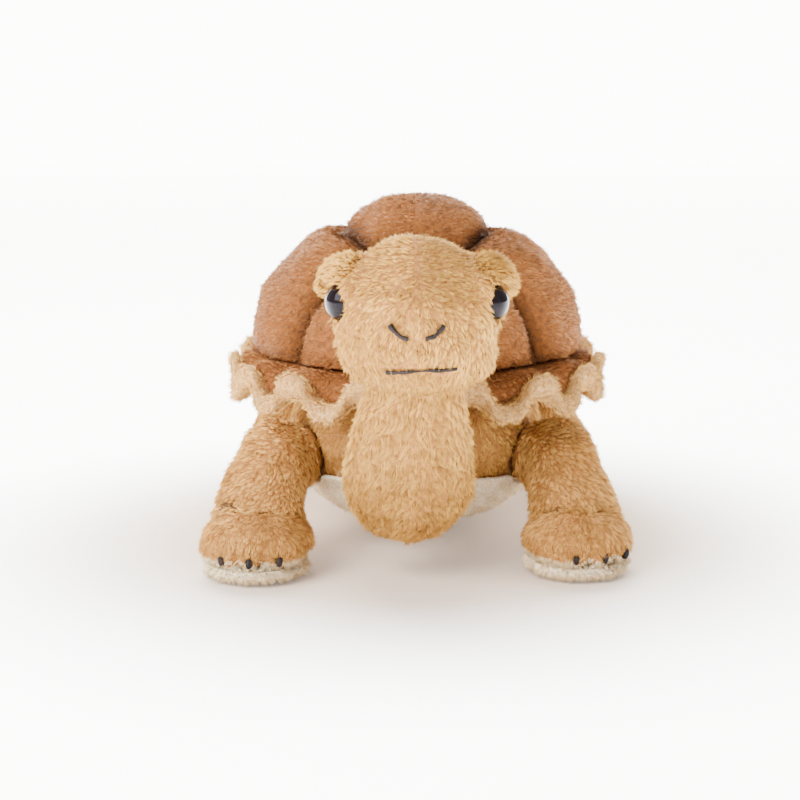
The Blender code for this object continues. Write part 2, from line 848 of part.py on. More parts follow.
def leg(name, x, front, body, belly, toe_turn):
    """A leg with its hip ball, its paw, its sole and three stitched claws."""
    size = 1.0 if front else rear_size_share
    if front:
        hip = Vector((x * front_hip_x, front_hip_y, front_hip_z))
        if x < 0:
            foot = Vector((-left_front_foot_x, left_front_foot_y, 0))
        else:
            foot = Vector((right_front_foot_x, right_front_foot_y, 0))
    else:
        hip = Vector((x * rear_hip_x, rear_hip_y, rear_hip_z))
        foot = Vector((x * rear_foot_x, rear_foot_y, 0))
    holder = add_empty(name + "_leg_joint", hip, root)
    rows = []
    top = hip.z + leg_reach
    leg_shares = zip(leg_height_shares, leg_width_shares, leg_depth_shares, leg_lean_shares)
    for up, wide, deep, lean in leg_shares:
        middle = hip.lerp(foot, lean)
        middle.z = leg_bottom + up * (top - leg_bottom)
        rows.append((middle, wide * leg_half_width * size, deep * leg_half_depth * size))
    limb = stuffed_form(name + "_leg", rows, limb_sides, tan_plush, holder, hip)
    combine(limb, ball(name + "_hip_ball", hip, hip_radius * size, holder), "UNION")
    socket = ball(name + "_hip_socket", hip, hip_radius * size + joint_gap, holder)
    cut(body, socket)
    cut(belly, socket)

    half_width = paw_half_width * size
    half_depth = paw_half_depth * size
    paw_rows = []
    for up, wide in zip(paw_height_shares, paw_width_shares):
        middle = foot.copy()
        middle.z = paw_bottom + up * (paw_top - paw_bottom)
        paw_rows.append((middle, wide * half_width, wide * half_depth))
    paw = stuffed_form(name + "_paw", paw_rows, paw_sides, tan_plush, holder, foot)
    paw_gap = swollen_copy(paw, name + "_paw_clearance", seam_gap)
    cut(limb, paw_gap)

    sole_rows = []
    for up, wide in zip(sole_height_shares, sole_width_shares):
        middle = foot.copy()
        middle.z = -sole_sink + up * (sole_top + sole_sink)
        edge = wide * sole_edge_share
        sole_rows.append((middle, edge * half_width, edge * half_depth))
    sole = stuffed_form(name + "_sole", sole_rows, paw_sides, cream_plush, holder, foot)
    cut(sole, paw_gap)
    reach = half_depth + cutter_margin
    floor_low = foot + Vector((-reach, -reach, -cutter_margin))
    floor_high = foot + Vector((reach, reach, 0))
    cut(sole, block(name + "_floor_cutter", floor_low, floor_high, root))
    sole_gap = swollen_copy(sole, name + "_sole_clearance", seam_gap)
    claws(name, foot, paw, holder, toe_turn, [paw_gap, sole_gap])
    return holder


def claws(name, foot, paw, holder, toe_turn, clearances):
    """Three short stitched claws side by side on the paw's front."""
    surface = surface_of(paw)
    spot = Vector((foot.x, foot.y, claw_height))
    for place, row in (("right", -1), ("middle", 0), ("left", 1)):
        turn = row * claw_spread + toe_turn
        direction = Vector((math.sin(turn), -math.cos(turn), 0))
        seat = seat_on(surface, spot, direction)
        bm = bmesh.new()
        bmesh.ops.create_uvsphere(bm, u_segments=claw_sides, v_segments=claw_rings, radius=1)
        size = Vector((claw_half_width, claw_half_depth, claw_half_height))
        bmesh.ops.scale(bm, vec=size, verts=bm.verts[:])
        item = add_body(name + "_" + place + "_claw", bm, dark_thread, holder, seat)
        item.rotation_euler.z = turn
        for cutter in clearances:
            cut(item, cutter)


def tail(body, belly):
    """A short pointed tail."""
    root_spot = Vector((0, tail_root_y, tail_root_z))
    holder = add_empty("tail_joint", root_spot, root)
    rows = []
    for along, wide in zip(tail_height_shares, tail_width_shares):
        drop = max(0, along) ** tail_drop_power * tail_drop
        middle = root_spot + Vector((0, along * tail_length, -drop))
        radius = wide * tail_root_radius
        rows.append((middle, radius, radius))
    item = stuffed_form("tail", rows, limb_sides, tan_plush, holder, root_spot, upright=False)
    combine(item, ball("tail_ball", root_spot, tail_root_radius, holder), "UNION")
    socket = ball("tail_socket", root_spot, tail_root_radius + joint_gap, holder)
    cut(body, socket)
    cut(belly, socket)


seam_half_width = shell_half_width - panel_puff
seam_half_length = shell_half_length - panel_puff
seam_rise = shell_rise - panel_puff
core_half_width = seam_half_width - panel_thickness - stuffing_gap
core_half_length = seam_half_length - panel_thickness - stuffing_gap
core_rise = seam_rise - panel_thickness - stuffing_gap
rim_middle_height = shell_seam_height - seam_gap - rim_thickness
core_bottom = rim_middle_height - ruffle_gap - lining_thickness
tail_root_y = body_middle_y + body_half_length - tail_root_sink
tail_tip_y = tail_root_y + tail_length
head_height = head_top - head_bottom
head_length = head_nose_y - head_back_y
brow_x = head_half_width * brow_side_share
brow_y = head_back_y + head_length * brow_forward_share
brow_z = head_bottom + head_height * brow_height_share
eye_y = head_back_y + head_length * eye_forward_share
eye_z = head_bottom + head_height * eye_height_share
nostril_low_z = head_bottom + head_height * nostril_low_share
nostril_high_z = head_bottom + head_height * nostril_high_share
mouth_z = head_bottom + head_height * mouth_height_share
layout_shift = -(head_nose_y + tail_tip_y) / 2

clear_scene()
parts = add_collection("plush_turtle")
cutters = add_collection("cutters")
spots = {}
brown_plush = add_material("brown_plush", shell_brown, 0.95)
tan_plush = add_material("tan_plush", body_tan, 0.95)
lining_plush = add_material("lining_plush", lining_tan, 0.95)
cream_plush = add_material("cream_plush", sole_cream, 0.95)
dark_thread = add_material("dark_thread", thread_dark, 0.7)
gloss_black = add_material("gloss_black", eye_black, 0.06)
washer_plastic = add_material("washer_plastic", washer_white, 0.5)
white_stuffing = add_material("white_stuffing", stuffing_white, 1.0)

root = add_empty("plush_turtle_middle", (0, 0, 0))
root.location = (0, layout_shift, 0)

shell()
body, belly = torso()
neck_and_head(body, belly)
leg("front_left", -1, True, body, belly, -left_toe_turn)
leg("front_right", 1, True, body, belly, right_toe_turn)
leg("rear_left", -1, False, body, belly, -left_toe_turn)
leg("rear_right", 1, False, body, belly, left_toe_turn)
tail(body, belly)
bpy.context.view_layer.update()
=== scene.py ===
"""Looks of the plush turtle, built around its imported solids.

Each stuffed form gets a sewn skin: a smoothed copy of its solid, swollen a little by a
cloth simulation. On the skins lies the pile: short closed fibres that follow the nap.
The fibres are drawn thicker than real ones, which are too fine for the render.
"""

import math

import bpy
import numpy as np
from mathutils import Matrix, Vector
from mathutils.bvhtree import BVHTree
from mathutils.kdtree import KDTree


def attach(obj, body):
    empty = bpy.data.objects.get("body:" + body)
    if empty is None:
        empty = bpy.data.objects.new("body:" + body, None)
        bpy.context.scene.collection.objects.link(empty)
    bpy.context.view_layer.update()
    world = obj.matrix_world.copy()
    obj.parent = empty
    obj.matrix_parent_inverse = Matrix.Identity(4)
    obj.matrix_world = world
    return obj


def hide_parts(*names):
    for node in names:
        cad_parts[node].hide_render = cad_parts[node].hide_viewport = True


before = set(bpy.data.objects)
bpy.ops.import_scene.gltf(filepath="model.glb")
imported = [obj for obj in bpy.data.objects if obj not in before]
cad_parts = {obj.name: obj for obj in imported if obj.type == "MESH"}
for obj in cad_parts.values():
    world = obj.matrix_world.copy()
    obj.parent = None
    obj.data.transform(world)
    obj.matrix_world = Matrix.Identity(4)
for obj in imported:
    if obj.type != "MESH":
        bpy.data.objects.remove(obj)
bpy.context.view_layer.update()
mm = 0.001

# Camera, fitted to the photo
photo_side = 800
photo_left_shift = 17
camera_lens = 85
sensor_side = 36
camera_clip_start = 0.01
camera_clip_end = 20
camera_distance = 0.75
camera_height_angle = math.radians(10)
aim = Vector((0, 0.01225, 0.0522))

# Stage and light
floor_side = 20
wall_side = 6
wall_distance = 3
paper_cloud = 25 * mm
# The floor's glow is painted light: dim close to the toy, so that its shadow shows, and full
# further out.
floor_glow = 0.2
far_glow = 7.0
glow_starts = 0.09
glow_is_full = 0.24
# How far from the toy the floor's painted shadow tint reaches.
painted_shadow_starts = 0.07
painted_shadow_ends = 0.18
room_strength = 0.68
light_target = (0, 0, 0.05)
key_spot, key_width, key_power = (-0.65, -0.8, 0.72), 0.8, 39
top_spot, top_width, top_power = (-0.1, 0.4, 0.85), 0.6, 13

# Places that the nap turns round
nose_middle = Vector((0, -0.122, 0.098))
mouth_height = 0.085
face_back = -0.095
shell_middle = Vector((0, 0.034, 0.070))

# The eyes, as their solids give them
eye_turn = math.radians(77)
eye_lift = math.radians(4)
eye_radius = 6.6 * mm
eye_dome = 6.0 * mm
eye_proud = 1.0 * mm
shank_radius = 1.6 * mm
shank_length = 5 * mm

# The hollow that the eye makes under its brow
hood_radius = 9.5 * mm
hood_side = 34.5 * mm
hood_forward = -96 * mm
hood_height = 99.5 * mm

# The finish of each skin
skin_voxel = 1.7 * mm
fine_voxel = 1.1 * mm
panel_voxel = 1.3 * mm
head_voxel = 1.2 * mm
body_voxel = 2 * mm
filling_voxel = 3 * mm
rim_voxel = 1.0 * mm
stitch_voxel = 0.25 * mm
weld_distance = 0.02 * mm
swell_cap = 0.9 * mm
swell_frames = 20
stuffing_pressure = 4
contact_reach = 3 * mm
lump_size = 26 * mm
deepest_lump = 1.6

# The pile
fibre_width = 0.36 * mm
fine_fibre_width = 0.34 * mm
fibre_root = 0.35 * mm
pile_clearance = 2.4 * mm
close_edge = 0.1 * mm
near_search = 12 * mm
lowest_tip = 0.1 * mm
lowest_root = 0.4 * mm
tan_patch = 14 * mm
brown_patch = 16 * mm

# The neck hangs a little to one side, below its upper part
neck_drift = 3 * mm
neck_drift_top = 0.080
neck_drift_reach = 0.03

# The cream plush ends at this height on a paw, and the claws stand higher and further out
# than their solids, clear of the pile
cream_edge = 10 * mm
claw_rise = 2 * mm
claw_out = 0.9 * mm


def srgb(code):
    """A hex colour as linear light."""
    values = [int(code[place:place + 2], 16) / 255 for place in (1, 3, 5)]
    linear = [v / 12.92 if v <= 0.04045 else ((v + 0.055) / 1.055) ** 2.4 for v in values]
    return (*linear, 1)


def node(tree, kind, settings, links=()):
    """Adds one node with its settings and the outputs that feed it."""
    made = tree.nodes.new(kind)
    for name, value in settings.items():
        if isinstance(name, int) or name in made.inputs:
            made.inputs[name].default_value = value
        else:
            setattr(made, name, value)
    for name, output in dict(links).items():
        tree.links.new(output, made.inputs[name])
    return made


def new_material(name):
    material = bpy.data.materials.new(name)
    material.use_nodes = True
    tree = material.node_tree
    shader = tree.nodes["Principled BSDF"]
    return material, tree, shader


def colour_ramp(tree, factor, stops):
    ramp = node(tree, "ShaderNodeValToRGB", {}, {"Fac": factor})
    while len(ramp.color_ramp.elements) < len(stops):
        ramp.color_ramp.elements.new(0.5)
    for element, (place, colour) in zip(ramp.color_ramp.elements, stops):
        element.position = place
        element.color = colour
    return ramp


def darkened(tree, colour, factor, settings):
    """The colour times a grey, which the settings draw from the factor."""
    shade = node(tree, "ShaderNodeMapRange", settings, {"Value": factor})
    deep = node(tree, "ShaderNodeMix", {"data_type": "RGBA", "blend_type": "MULTIPLY", 0: 1.0},
                {6: colour, 7: shade.outputs["Result"]})
    return deep.outputs[2]


def pile_fibre(name, root, middle, tip, pale, patch, dark=0.66):
    """Polyester plush fibre: dark in the depth of the pile, which is painted shade, and pale at the
    brushed tips.

    Brushing mixes the tufts: those of low tone are darker, by the share given, and the
    others paler, in soft patches. Where a crease lowers the tone, the darker colour is
    painted shade. Fine smooth fibres together give a dull sheen.
    """
    material, tree, shader = new_material(name)
    along = node(tree, "ShaderNodeAttribute", {"attribute_name": "along"})
    tone = node(tree, "ShaderNodeAttribute", {"attribute_name": "tone"})
    # Painted shade: the root colour darkens the depth of the pile.
    ramp = colour_ramp(tree, along.outputs["Fac"],
                       [(0.05, srgb(root)), (0.45, srgb(middle)), (1.0, srgb(tip))])
    place = node(tree, "ShaderNodeTexCoord", {})
    patches = node(tree, "ShaderNodeTexNoise",
                   {"Scale": 1 / patch, "Detail": 3.0, "Roughness": 0.6},
                   {"Vector": place.outputs["Object"]})
    spread = node(tree, "ShaderNodeMapRange",
                  {"From Min": 0.35, "From Max": 0.65, "To Min": 0.0, "To Max": 0.30},
                  {"Value": patches.outputs["Fac"]})
    toned = node(tree, "ShaderNodeMath", {"operation": "MULTIPLY_ADD", 1: 0.75},
                 {0: tone.outputs["Fac"], 2: spread.outputs["Result"]})
    lighter = node(tree, "ShaderNodeMath", {"operation": "MULTIPLY"},
                   {0: toned.outputs[0], 1: along.outputs["Fac"]})
    mix = node(tree, "ShaderNodeMix", {"data_type": "RGBA", 7: srgb(pale)},
               {0: lighter.outputs[0], 6: ramp.outputs["Color"]})
    deep = darkened(tree, mix.outputs[2], tone.outputs["Fac"],
                    {"From Min": 0.12, "From Max": 0.62, "To Min": dark, "To Max": 1.0})
    tree.links.new(deep, shader.inputs["Base Color"])
    shader.inputs["Roughness"].default_value = 0.62
    shader.inputs["IOR"].default_value = 1.45
    shader.inputs["Specular IOR Level"].default_value = 0.25
    return material


def knit_backing(name, colour, dark):
    """The plush's knitted backing: fine dull loops in the depth of the pile.

    The loops are drawn 1.2 mm wide, coarser than real ones of about 0.5 mm, so that they
    show. The backing is darker in a seam's crease, where little light comes.
    """
    material, tree, shader = new_material(name)
    place = node(tree, "ShaderNodeTexCoord", {})
    loops = node(tree, "ShaderNodeTexNoise", {"Scale": 1 / (1.2 * mm), "Detail": 2.0},
                 {"Vector": place.outputs["Object"]})
    ramp = colour_ramp(tree, loops.outputs["Fac"], [(0.35, srgb(dark)), (0.65, srgb(colour))])
    crease = node(tree, "ShaderNodeAttribute", {"attribute_name": "crease"})
    deep = darkened(tree, ramp.outputs["Color"], crease.outputs["Fac"],
                    {"To Min": 1.0, "To Max": 0.25})
    tree.links.new(deep, shader.inputs["Base Color"])
    bump = node(tree, "ShaderNodeBump", {"Strength": 0.5, "Distance": 0.3 * mm},
                {"Height": loops.outputs["Fac"]})
    tree.links.new(bump.outputs["Normal"], shader.inputs["Normal"])
    shader.inputs["Roughness"].default_value = 0.95
    shader.inputs["Specular IOR Level"].default_value = 0.1
    return material


def embroidery_thread():
    """Dark rayon thread: a twist across each stitch and a soft shine.

    A real twist of about 0.7 mm is too fine for the render, so it is drawn coarser: one
    band in about 5 mm.
    """
    material, tree, shader = new_material("embroidery_thread")
    place = node(tree, "ShaderNodeTexCoord", {})
    twist = node(tree, "ShaderNodeTexWave",
                 {"Scale": 1 / (0.7 * mm) / 20, "Distortion": 1.5, "bands_direction": "DIAGONAL"},
                 {"Vector": place.outputs["Object"]})
    ramp = colour_ramp(tree, twist.outputs["Fac"], [(0.2, srgb("#0C0708")), (0.9, srgb("#221816"))])
    tree.links.new(ramp.outputs["Color"], shader.inputs["Base Color"])
    shader.inputs["Roughness"].default_value = 0.6
    shader.inputs["Specular IOR Level"].default_value = 0.2
    return material


def eye_resin():
    """Glossy moulded plastic, almost black, with a faint cloud of brown in it."""
    material, tree, shader = new_material("eye_resin")
    place = node(tree, "ShaderNodeTexCoord", {})
    cloud = node(tree, "ShaderNodeTexNoise", {"Scale": 1 / (4 * mm), "Detail": 2.0},
                 {"Vector": place.outputs["Object"]})
    ramp = colour_ramp(tree, cloud.outputs["Fac"], [(0.3, srgb("#0B080A")), (0.8, srgb("#1A1315"))])
    tree.links.new(ramp.outputs["Color"], shader.inputs["Base Color"])
    shader.inputs["Roughness"].default_value = 0.07
    shader.inputs["IOR"].default_value = 1.49
    shader.inputs["Specular IOR Level"].default_value = 0.35
    shader.inputs["Specular Tint"].default_value = (0.25, 0.25, 0.29, 1)
    return material


def moulded_nylon():
    """Milky moulded nylon: faintly mottled, with a half-dull skin from its mould."""
    material, tree, shader = new_material("moulded_nylon_washer")
    place = node(tree, "ShaderNodeTexCoord", {})
    speckle = node(tree, "ShaderNodeTexNoise", {"Scale": 1 / (0.8 * mm)},
                   {"Vector": place.outputs["Object"]})
    tint = node(tree, "ShaderNodeMapRange", {"To Min": 0.94, "To Max": 1.0},
                {"Value": speckle.outputs["Fac"]})
    mix = node(tree, "ShaderNodeMix",
               {"data_type": "RGBA", "blend_type": "MULTIPLY", 0: 1.0, 6: srgb("#E8E8E4")},
               {7: tint.outputs["Result"]})
    tree.links.new(mix.outputs[2], shader.inputs["Base Color"])
    shader.inputs["Roughness"].default_value = 0.45
    return material


# Each fibre's first colour, at the root, is painted shade of the pile's depth.
tan_fibre = pile_fibre(
    "tan_pile_fibre", "#4E2C10", "#B97A2E", "#DD9C40", "#F5C474", tan_patch, dark=0.58)
# A paler copy of the tan fibre, painted light: the same plush drawn lighter on the body, neck, head
# and brows.
lit_tan_fibre = pile_fibre(
    "pale_tan_pile_fibre", "#502C0C", "#C0832E", "#E3A53F", "#F8CA6C", tan_patch, dark=0.60)
brown_fibre = pile_fibre(
    "brown_pile_fibre", "#744422", "#93592C", "#A66C35", "#BA8046", brown_patch, dark=0.38)
lining_fibre = pile_fibre(
    "lining_pile_fibre", "#9C682E", "#DDA24C", "#F0BA60", "#FFD68A", tan_patch)
cream_fibre = pile_fibre(
    "cream_pile_fibre", "#EDCB98", "#FFE2B0", "#FFEBC0", "#FFF3D2", tan_patch)
tan_backing = knit_backing("tan_plush_backing", "#A5733C", "#80552A")
brown_backing = knit_backing("brown_plush_backing", "#7C4A22", "#643A1A")
lining_backing = knit_backing("lining_plush_backing", "#C19A66", "#9A7444")
cream_backing = knit_backing("cream_plush_backing", "#E6D8BF", "#C9B899")
fibre_fill = knit_backing("polyester_fibre_fill", "#F2F2EE", "#DADAD4")
thread = embroidery_thread()
resin = eye_resin()
washer_plastic = moulded_nylon()


def alone(item):
    """Selects one object, and nothing else, for the operators."""
    bpy.ops.object.select_all(action="DESELECT")
    item.select_set(True)
    bpy.context.view_layer.objects.active = item


def apply_modifier(item, kind, settings):
    modifier = item.modifiers.new(kind.lower(), kind)
    for name, value in settings.items():
        setattr(modifier, name, value)
    alone(item)
    bpy.ops.object.modifier_apply(modifier=modifier.name)


def in_edit_mode(item, operator, **settings):
    """Runs one edit-mode operator on the whole mesh."""
    alone(item)
    bpy.ops.object.mode_set(mode="EDIT")
    bpy.ops.mesh.select_all(action="SELECT")
    operator(**settings)
    bpy.ops.object.mode_set(mode="OBJECT")


def copy_of_solid(name, part):
    """The solid's mesh as a new object, with its loose triangles merged."""
    item = bpy.data.objects.new(name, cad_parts[part].data.copy())
    bpy.context.scene.collection.objects.link(item)
    item.data.materials.clear()
    in_edit_mode(item, bpy.ops.mesh.remove_doubles, threshold=weld_distance)
    return item


def remeshed(item, voxel, rounds):
    """An even mesh of small faces, with its edges rounded by smoothing."""
    apply_modifier(item, "REMESH", {"mode": "VOXEL", "voxel_size": voxel, "use_smooth_shade": True})
    apply_modifier(item, "SMOOTH", {"factor": 0.5, "iterations": rounds})


def points_of(item):
    points = np.empty(len(item.data.vertices) * 3)
    item.data.vertices.foreach_get("co", points)
    return points.reshape(-1, 3)


def normals_of(item):
    normals = np.empty(len(item.data.vertices) * 3)
    item.data.vertex_normals.foreach_get("vector", normals)
    return normals.reshape(-1, 3)


def place_points(item, points):
    item.data.vertices.foreach_set("co", points.ravel())
    item.data.update()


def swell(item, cap):
    """Stuffs a skin: cloth under pressure, each point moved by the cap at most."""
    rest = points_of(item)
    cloth = item.modifiers.new("stuffing", "CLOTH")
    cloth.settings.quality = 4
    cloth.settings.mass = 0.15
    cloth.settings.tension_stiffness = 12
    cloth.settings.compression_stiffness = 12
    cloth.settings.bending_stiffness = 0.4
    cloth.settings.use_pressure = True
    cloth.settings.uniform_pressure_force = stuffing_pressure
    cloth.settings.effector_weights.gravity = 0
    cloth.collision_settings.use_collision = False
    cloth.collision_settings.use_self_collision = False
    for step in range(1, swell_frames + 1):
        bpy.context.scene.frame_set(step)
    alone(item)
    bpy.ops.object.modifier_apply(modifier=cloth.name)
    bpy.context.scene.frame_set(1)
    moved = points_of(item) - rest
    length = np.linalg.norm(moved, axis=1, keepdims=True)
    place_points(item, rest + moved * np.minimum(1, cap / np.maximum(length, 1e-9)))


solid_names = sorted(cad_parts)


def solids_tree():
    """All solids in one search tree, with the solid that each triangle belongs to."""
    points, faces, owners = [], [], []
    for name in solid_names:
        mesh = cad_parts[name].data
        start = len(points)
        points.extend(vertex.co.copy() for vertex in mesh.vertices)
        for face in mesh.polygons:
            faces.append([start + corner for corner in face.vertices])
            owners.append(name)
    return BVHTree.FromPolygons(points, faces), owners


all_solids, face_owner = solids_tree()
solid_tree = {}


def tree_of(part):
    if part not in solid_tree:
        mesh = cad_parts[part].data
        solid_tree[part] = BVHTree.FromPolygons(
            [vertex.co for vertex in mesh.vertices],
            [tuple(face.vertices) for face in mesh.polygons])
    return solid_tree[part]


def distance_to(points, part):
    tree = tree_of(part)
    return np.array([tree.find_nearest(Vector(point))[3] for point in points])


def open_to_air(places, normals, own, reach):
    """Which places have nothing but their own solids close above them."""
    lift, step = 0.3, 0.05  # In millimetres
    free = np.ones(len(places), bool)
    for index, (place, normal) in enumerate(zip(places, normals)):
        start = Vector(place) + Vector(normal) * lift * mm
        left = reach
        for _ in range(3):
            spot, _, face, distance = all_solids.ray_cast(start, Vector(normal), left)
            if face is None:
                break
            if face_owner[face] not in own:
                free[index] = False
                break
            left -= distance + step * mm
            if left <= 0:
                break
            start = spot + Vector(normal) * step * mm
    return free


def near_any(places, parts, reach):
    """Which places lie within reach of the named solids, or inside them."""
    close = np.zeros(len(places), bool)
    for part in parts:
        tree = tree_of(part)
        for index, place in enumerate(places):
            if close[index]:
                continue
            spot, normal, _, distance = tree.find_nearest(Vector(place), near_search)
            if spot is None:
                continue
            if distance < reach or (Vector(place) - spot).dot(normal) < 0:
                close[index] = True
    return close


def wander(places, size, seed):
    """Smooth noise, mostly from -1 to 1, that changes over about the given size."""
    draw = np.random.default_rng(seed)
    total = np.zeros(len(places))
    for _ in range(6):
        turn = draw.normal(size=3)
        turn /= np.linalg.norm(turn)
        pace = 2 * math.pi / size
        total += np.sin(places @ turn * pace * draw.uniform(0.7, 1.4) + draw.uniform(0, 6.28))
    return total / 3


def unit(vectors):
    return vectors / np.maximum(np.linalg.norm(vectors, axis=1, keepdims=True), 1e-12)


def scattered(item, count, seed):
    """Evenly random places on a skin, with the normals there."""
    mesh = item.data
    mesh.calc_loop_triangles()
    corners = np.empty(len(mesh.loop_triangles) * 3, int)
    mesh.loop_triangles.foreach_get("vertices", corners)
    corners = corners.reshape(-1, 3)
    points = points_of(item)
    normals = normals_of(item)
    a, b, c = (points[corners[:, side]] for side in range(3))
    area = np.linalg.norm(np.cross(b - a, c - a), axis=1)
    draw = np.random.default_rng(seed)
    ladder = np.cumsum(area) / area.sum()
    spaced = (np.arange(count) + draw.uniform(size=count)) / count
    pick = np.minimum(np.searchsorted(ladder, spaced), len(area) - 1)
    u, v = draw.uniform(size=(2, count))
    flip = u + v > 1
    u[flip], v[flip] = 1 - u[flip], 1 - v[flip]
    w = 1 - u - v
    places = a[pick] * w[:, None] + b[pick] * u[:, None] + c[pick] * v[:, None]
    ends = normals[corners[pick]]
    normal = unit(ends[:, 0] * w[:, None] + ends[:, 1] * u[:, None] + ends[:, 2] * v[:, None])
    return places, normal


def pushed(item, weights, distance):
    """Moves the surface out along its normals, each point by its own share of the distance."""
    group = item.vertex_groups.new(name="share")
    for level in np.unique(np.round(weights, 2)):
        if level > 0:
            chosen = np.flatnonzero(np.abs(weights - level) <= 0.0051)
            group.add(chosen.tolist(), float(level), "REPLACE")
    apply_modifier(item, "DISPLACE",
                   {"strength": distance, "mid_level": 0.0, "vertex_group": group.name})
    item.vertex_groups.clear()


def evened(item, weights, rounds):
    """Weights blended with those of the neighbouring points."""
    edges = np.empty(len(item.data.edges) * 2, int)
    item.data.edges.foreach_get("vertices", edges)
    first, second = edges.reshape(-1, 2).T
    count = len(weights)
    links = np.bincount(edges, minlength=count)
    for _ in range(rounds):
        total = (np.bincount(first, weights[second], count)
                 + np.bincount(second, weights[first], count))
        weights = 0.5 * weights + 0.5 * total / np.maximum(links, 1)
    return weights


def stands_for(item, part, body, material):
    """The item carries the material, rides on the body and takes the solid's place."""
    item.data.materials.append(material)
    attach(item, body)
    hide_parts(part)


def stuffed_skin(name, part, body, backing, voxel=skin_voxel, rounds=6, cap=swell_cap,
                 inset=1.6 * mm, lumps=0.8 * mm, shaping=None, carve=None):
    """A sewn and stuffed skin that takes the place of its plain solid.

    Where it is open to the air it starts smaller, because the stuffing swells it and the
    pile stands proud of it. Where it meets another form it keeps its place. The lumps are
    those of hand-packed filling. Shaping says how far each point is pushed out or in, and
    carve is the middle of a hollow cut out for an eye.
    """
    item = copy_of_solid(name, part)
    if carve:
        bpy.ops.object.select_all(action="DESELECT")
        bpy.ops.mesh.primitive_uv_sphere_add(
            segments=32, ring_count=16, radius=hood_radius, location=carve)
        hollow = bpy.context.object
        apply_modifier(item, "BOOLEAN",
                       {"operation": "DIFFERENCE", "solver": "EXACT", "object": hollow})
        bpy.data.objects.remove(hollow)
    remeshed(item, voxel, rounds)
    points = points_of(item)
    free = open_to_air(points, normals_of(item), {part}, contact_reach)
    open_share = evened(item, free.astype(float), 3)
    uneven = wander(points, lump_size, len(points)) * lumps / inset if lumps else 0
    share = np.clip(open_share * (1 - uneven), 0, deepest_lump) / deepest_lump
    pushed(item, share, -inset * deepest_lump)
    if cap:
        swell(item, cap)
    if shaping:
        amount = shaping(points_of(item))
        most = np.abs(amount).max()
        pushed(item, np.maximum(amount, 0) / most, most)
        pushed(item, np.maximum(-amount, 0) / most, -most)
    stands_for(item, part, body, backing)
    return item


def ruffle_skin(name, part, backing):
    """One layer of the gathered rim, its waves rounded by smoothing."""
    item = copy_of_solid(name, part)
    remeshed(item, rim_voxel, 5)
    stands_for(item, part, "trunk", backing)
    return item


def fibre_mesh(name, root, tip, thickness, across, normals, tone):
    """Closed three-sided fibres that taper to a point, each with its own cell of the map."""
    count = len(tone)
    ring = []
    for side in range(3):
        turn = 2 * math.pi * side / 3
        spoke = across * math.cos(turn) + normals * math.sin(turn)
        ring.append(root + spoke * thickness[:, None] / 2)
    verts = np.stack([*ring, tip], axis=1)
    pattern = np.array([(0, 1, 3), (1, 2, 3), (2, 0, 3), (2, 1, 0)])
    cells = [((0.1, 0.1), (0.45, 0.1), (0.3, 0.9)), ((0.45, 0.1), (0.7, 0.1), (0.3, 0.9)),
             ((0.75, 0.1), (0.9, 0.1), (0.9, 0.9)), ((0.4, 0.95), (0.5, 0.98), (0.6, 0.95))]
    faces = (np.arange(count)[:, None, None] * 4 + pattern[None]).reshape(-1, 3)
    mesh = bpy.data.meshes.new(name)
    mesh.vertices.add(count * 4)
    mesh.vertices.foreach_set("co", verts.reshape(-1))
    mesh.loops.add(len(faces) * 3)
    mesh.loops.foreach_set("vertex_index", faces.reshape(-1))
    mesh.polygons.add(len(faces))
    mesh.polygons.foreach_set("loop_start", np.arange(0, len(faces) * 3, 3))
    mesh.update(calc_edges=True)
    grid = math.ceil(math.sqrt(count))
    column, row = np.arange(count) % grid, np.arange(count) // grid
    cell = np.array(cells).reshape(-1, 2)[None]
    places = (np.stack([column, row], axis=1)[:, None, :] + cell) / grid
    sheet = mesh.uv_layers.new(name="OFBake")
    sheet.data.foreach_set("uv", places.reshape(-1))
    along = mesh.attributes.new("along", "FLOAT", "POINT")
    along.data.foreach_set("value", np.tile(np.array([0.0, 0.0, 0.0, 1.0]), count))
    shade = mesh.attributes.new("tone", "FLOAT", "POINT")
    shade.data.foreach_set("value", np.repeat(tone, 4))
    mesh.polygons.foreach_set("use_smooth", np.ones(len(faces), bool))
    mesh.update()
    item = bpy.data.objects.new(name, mesh)
    bpy.context.scene.collection.objects.link(item)
    return item


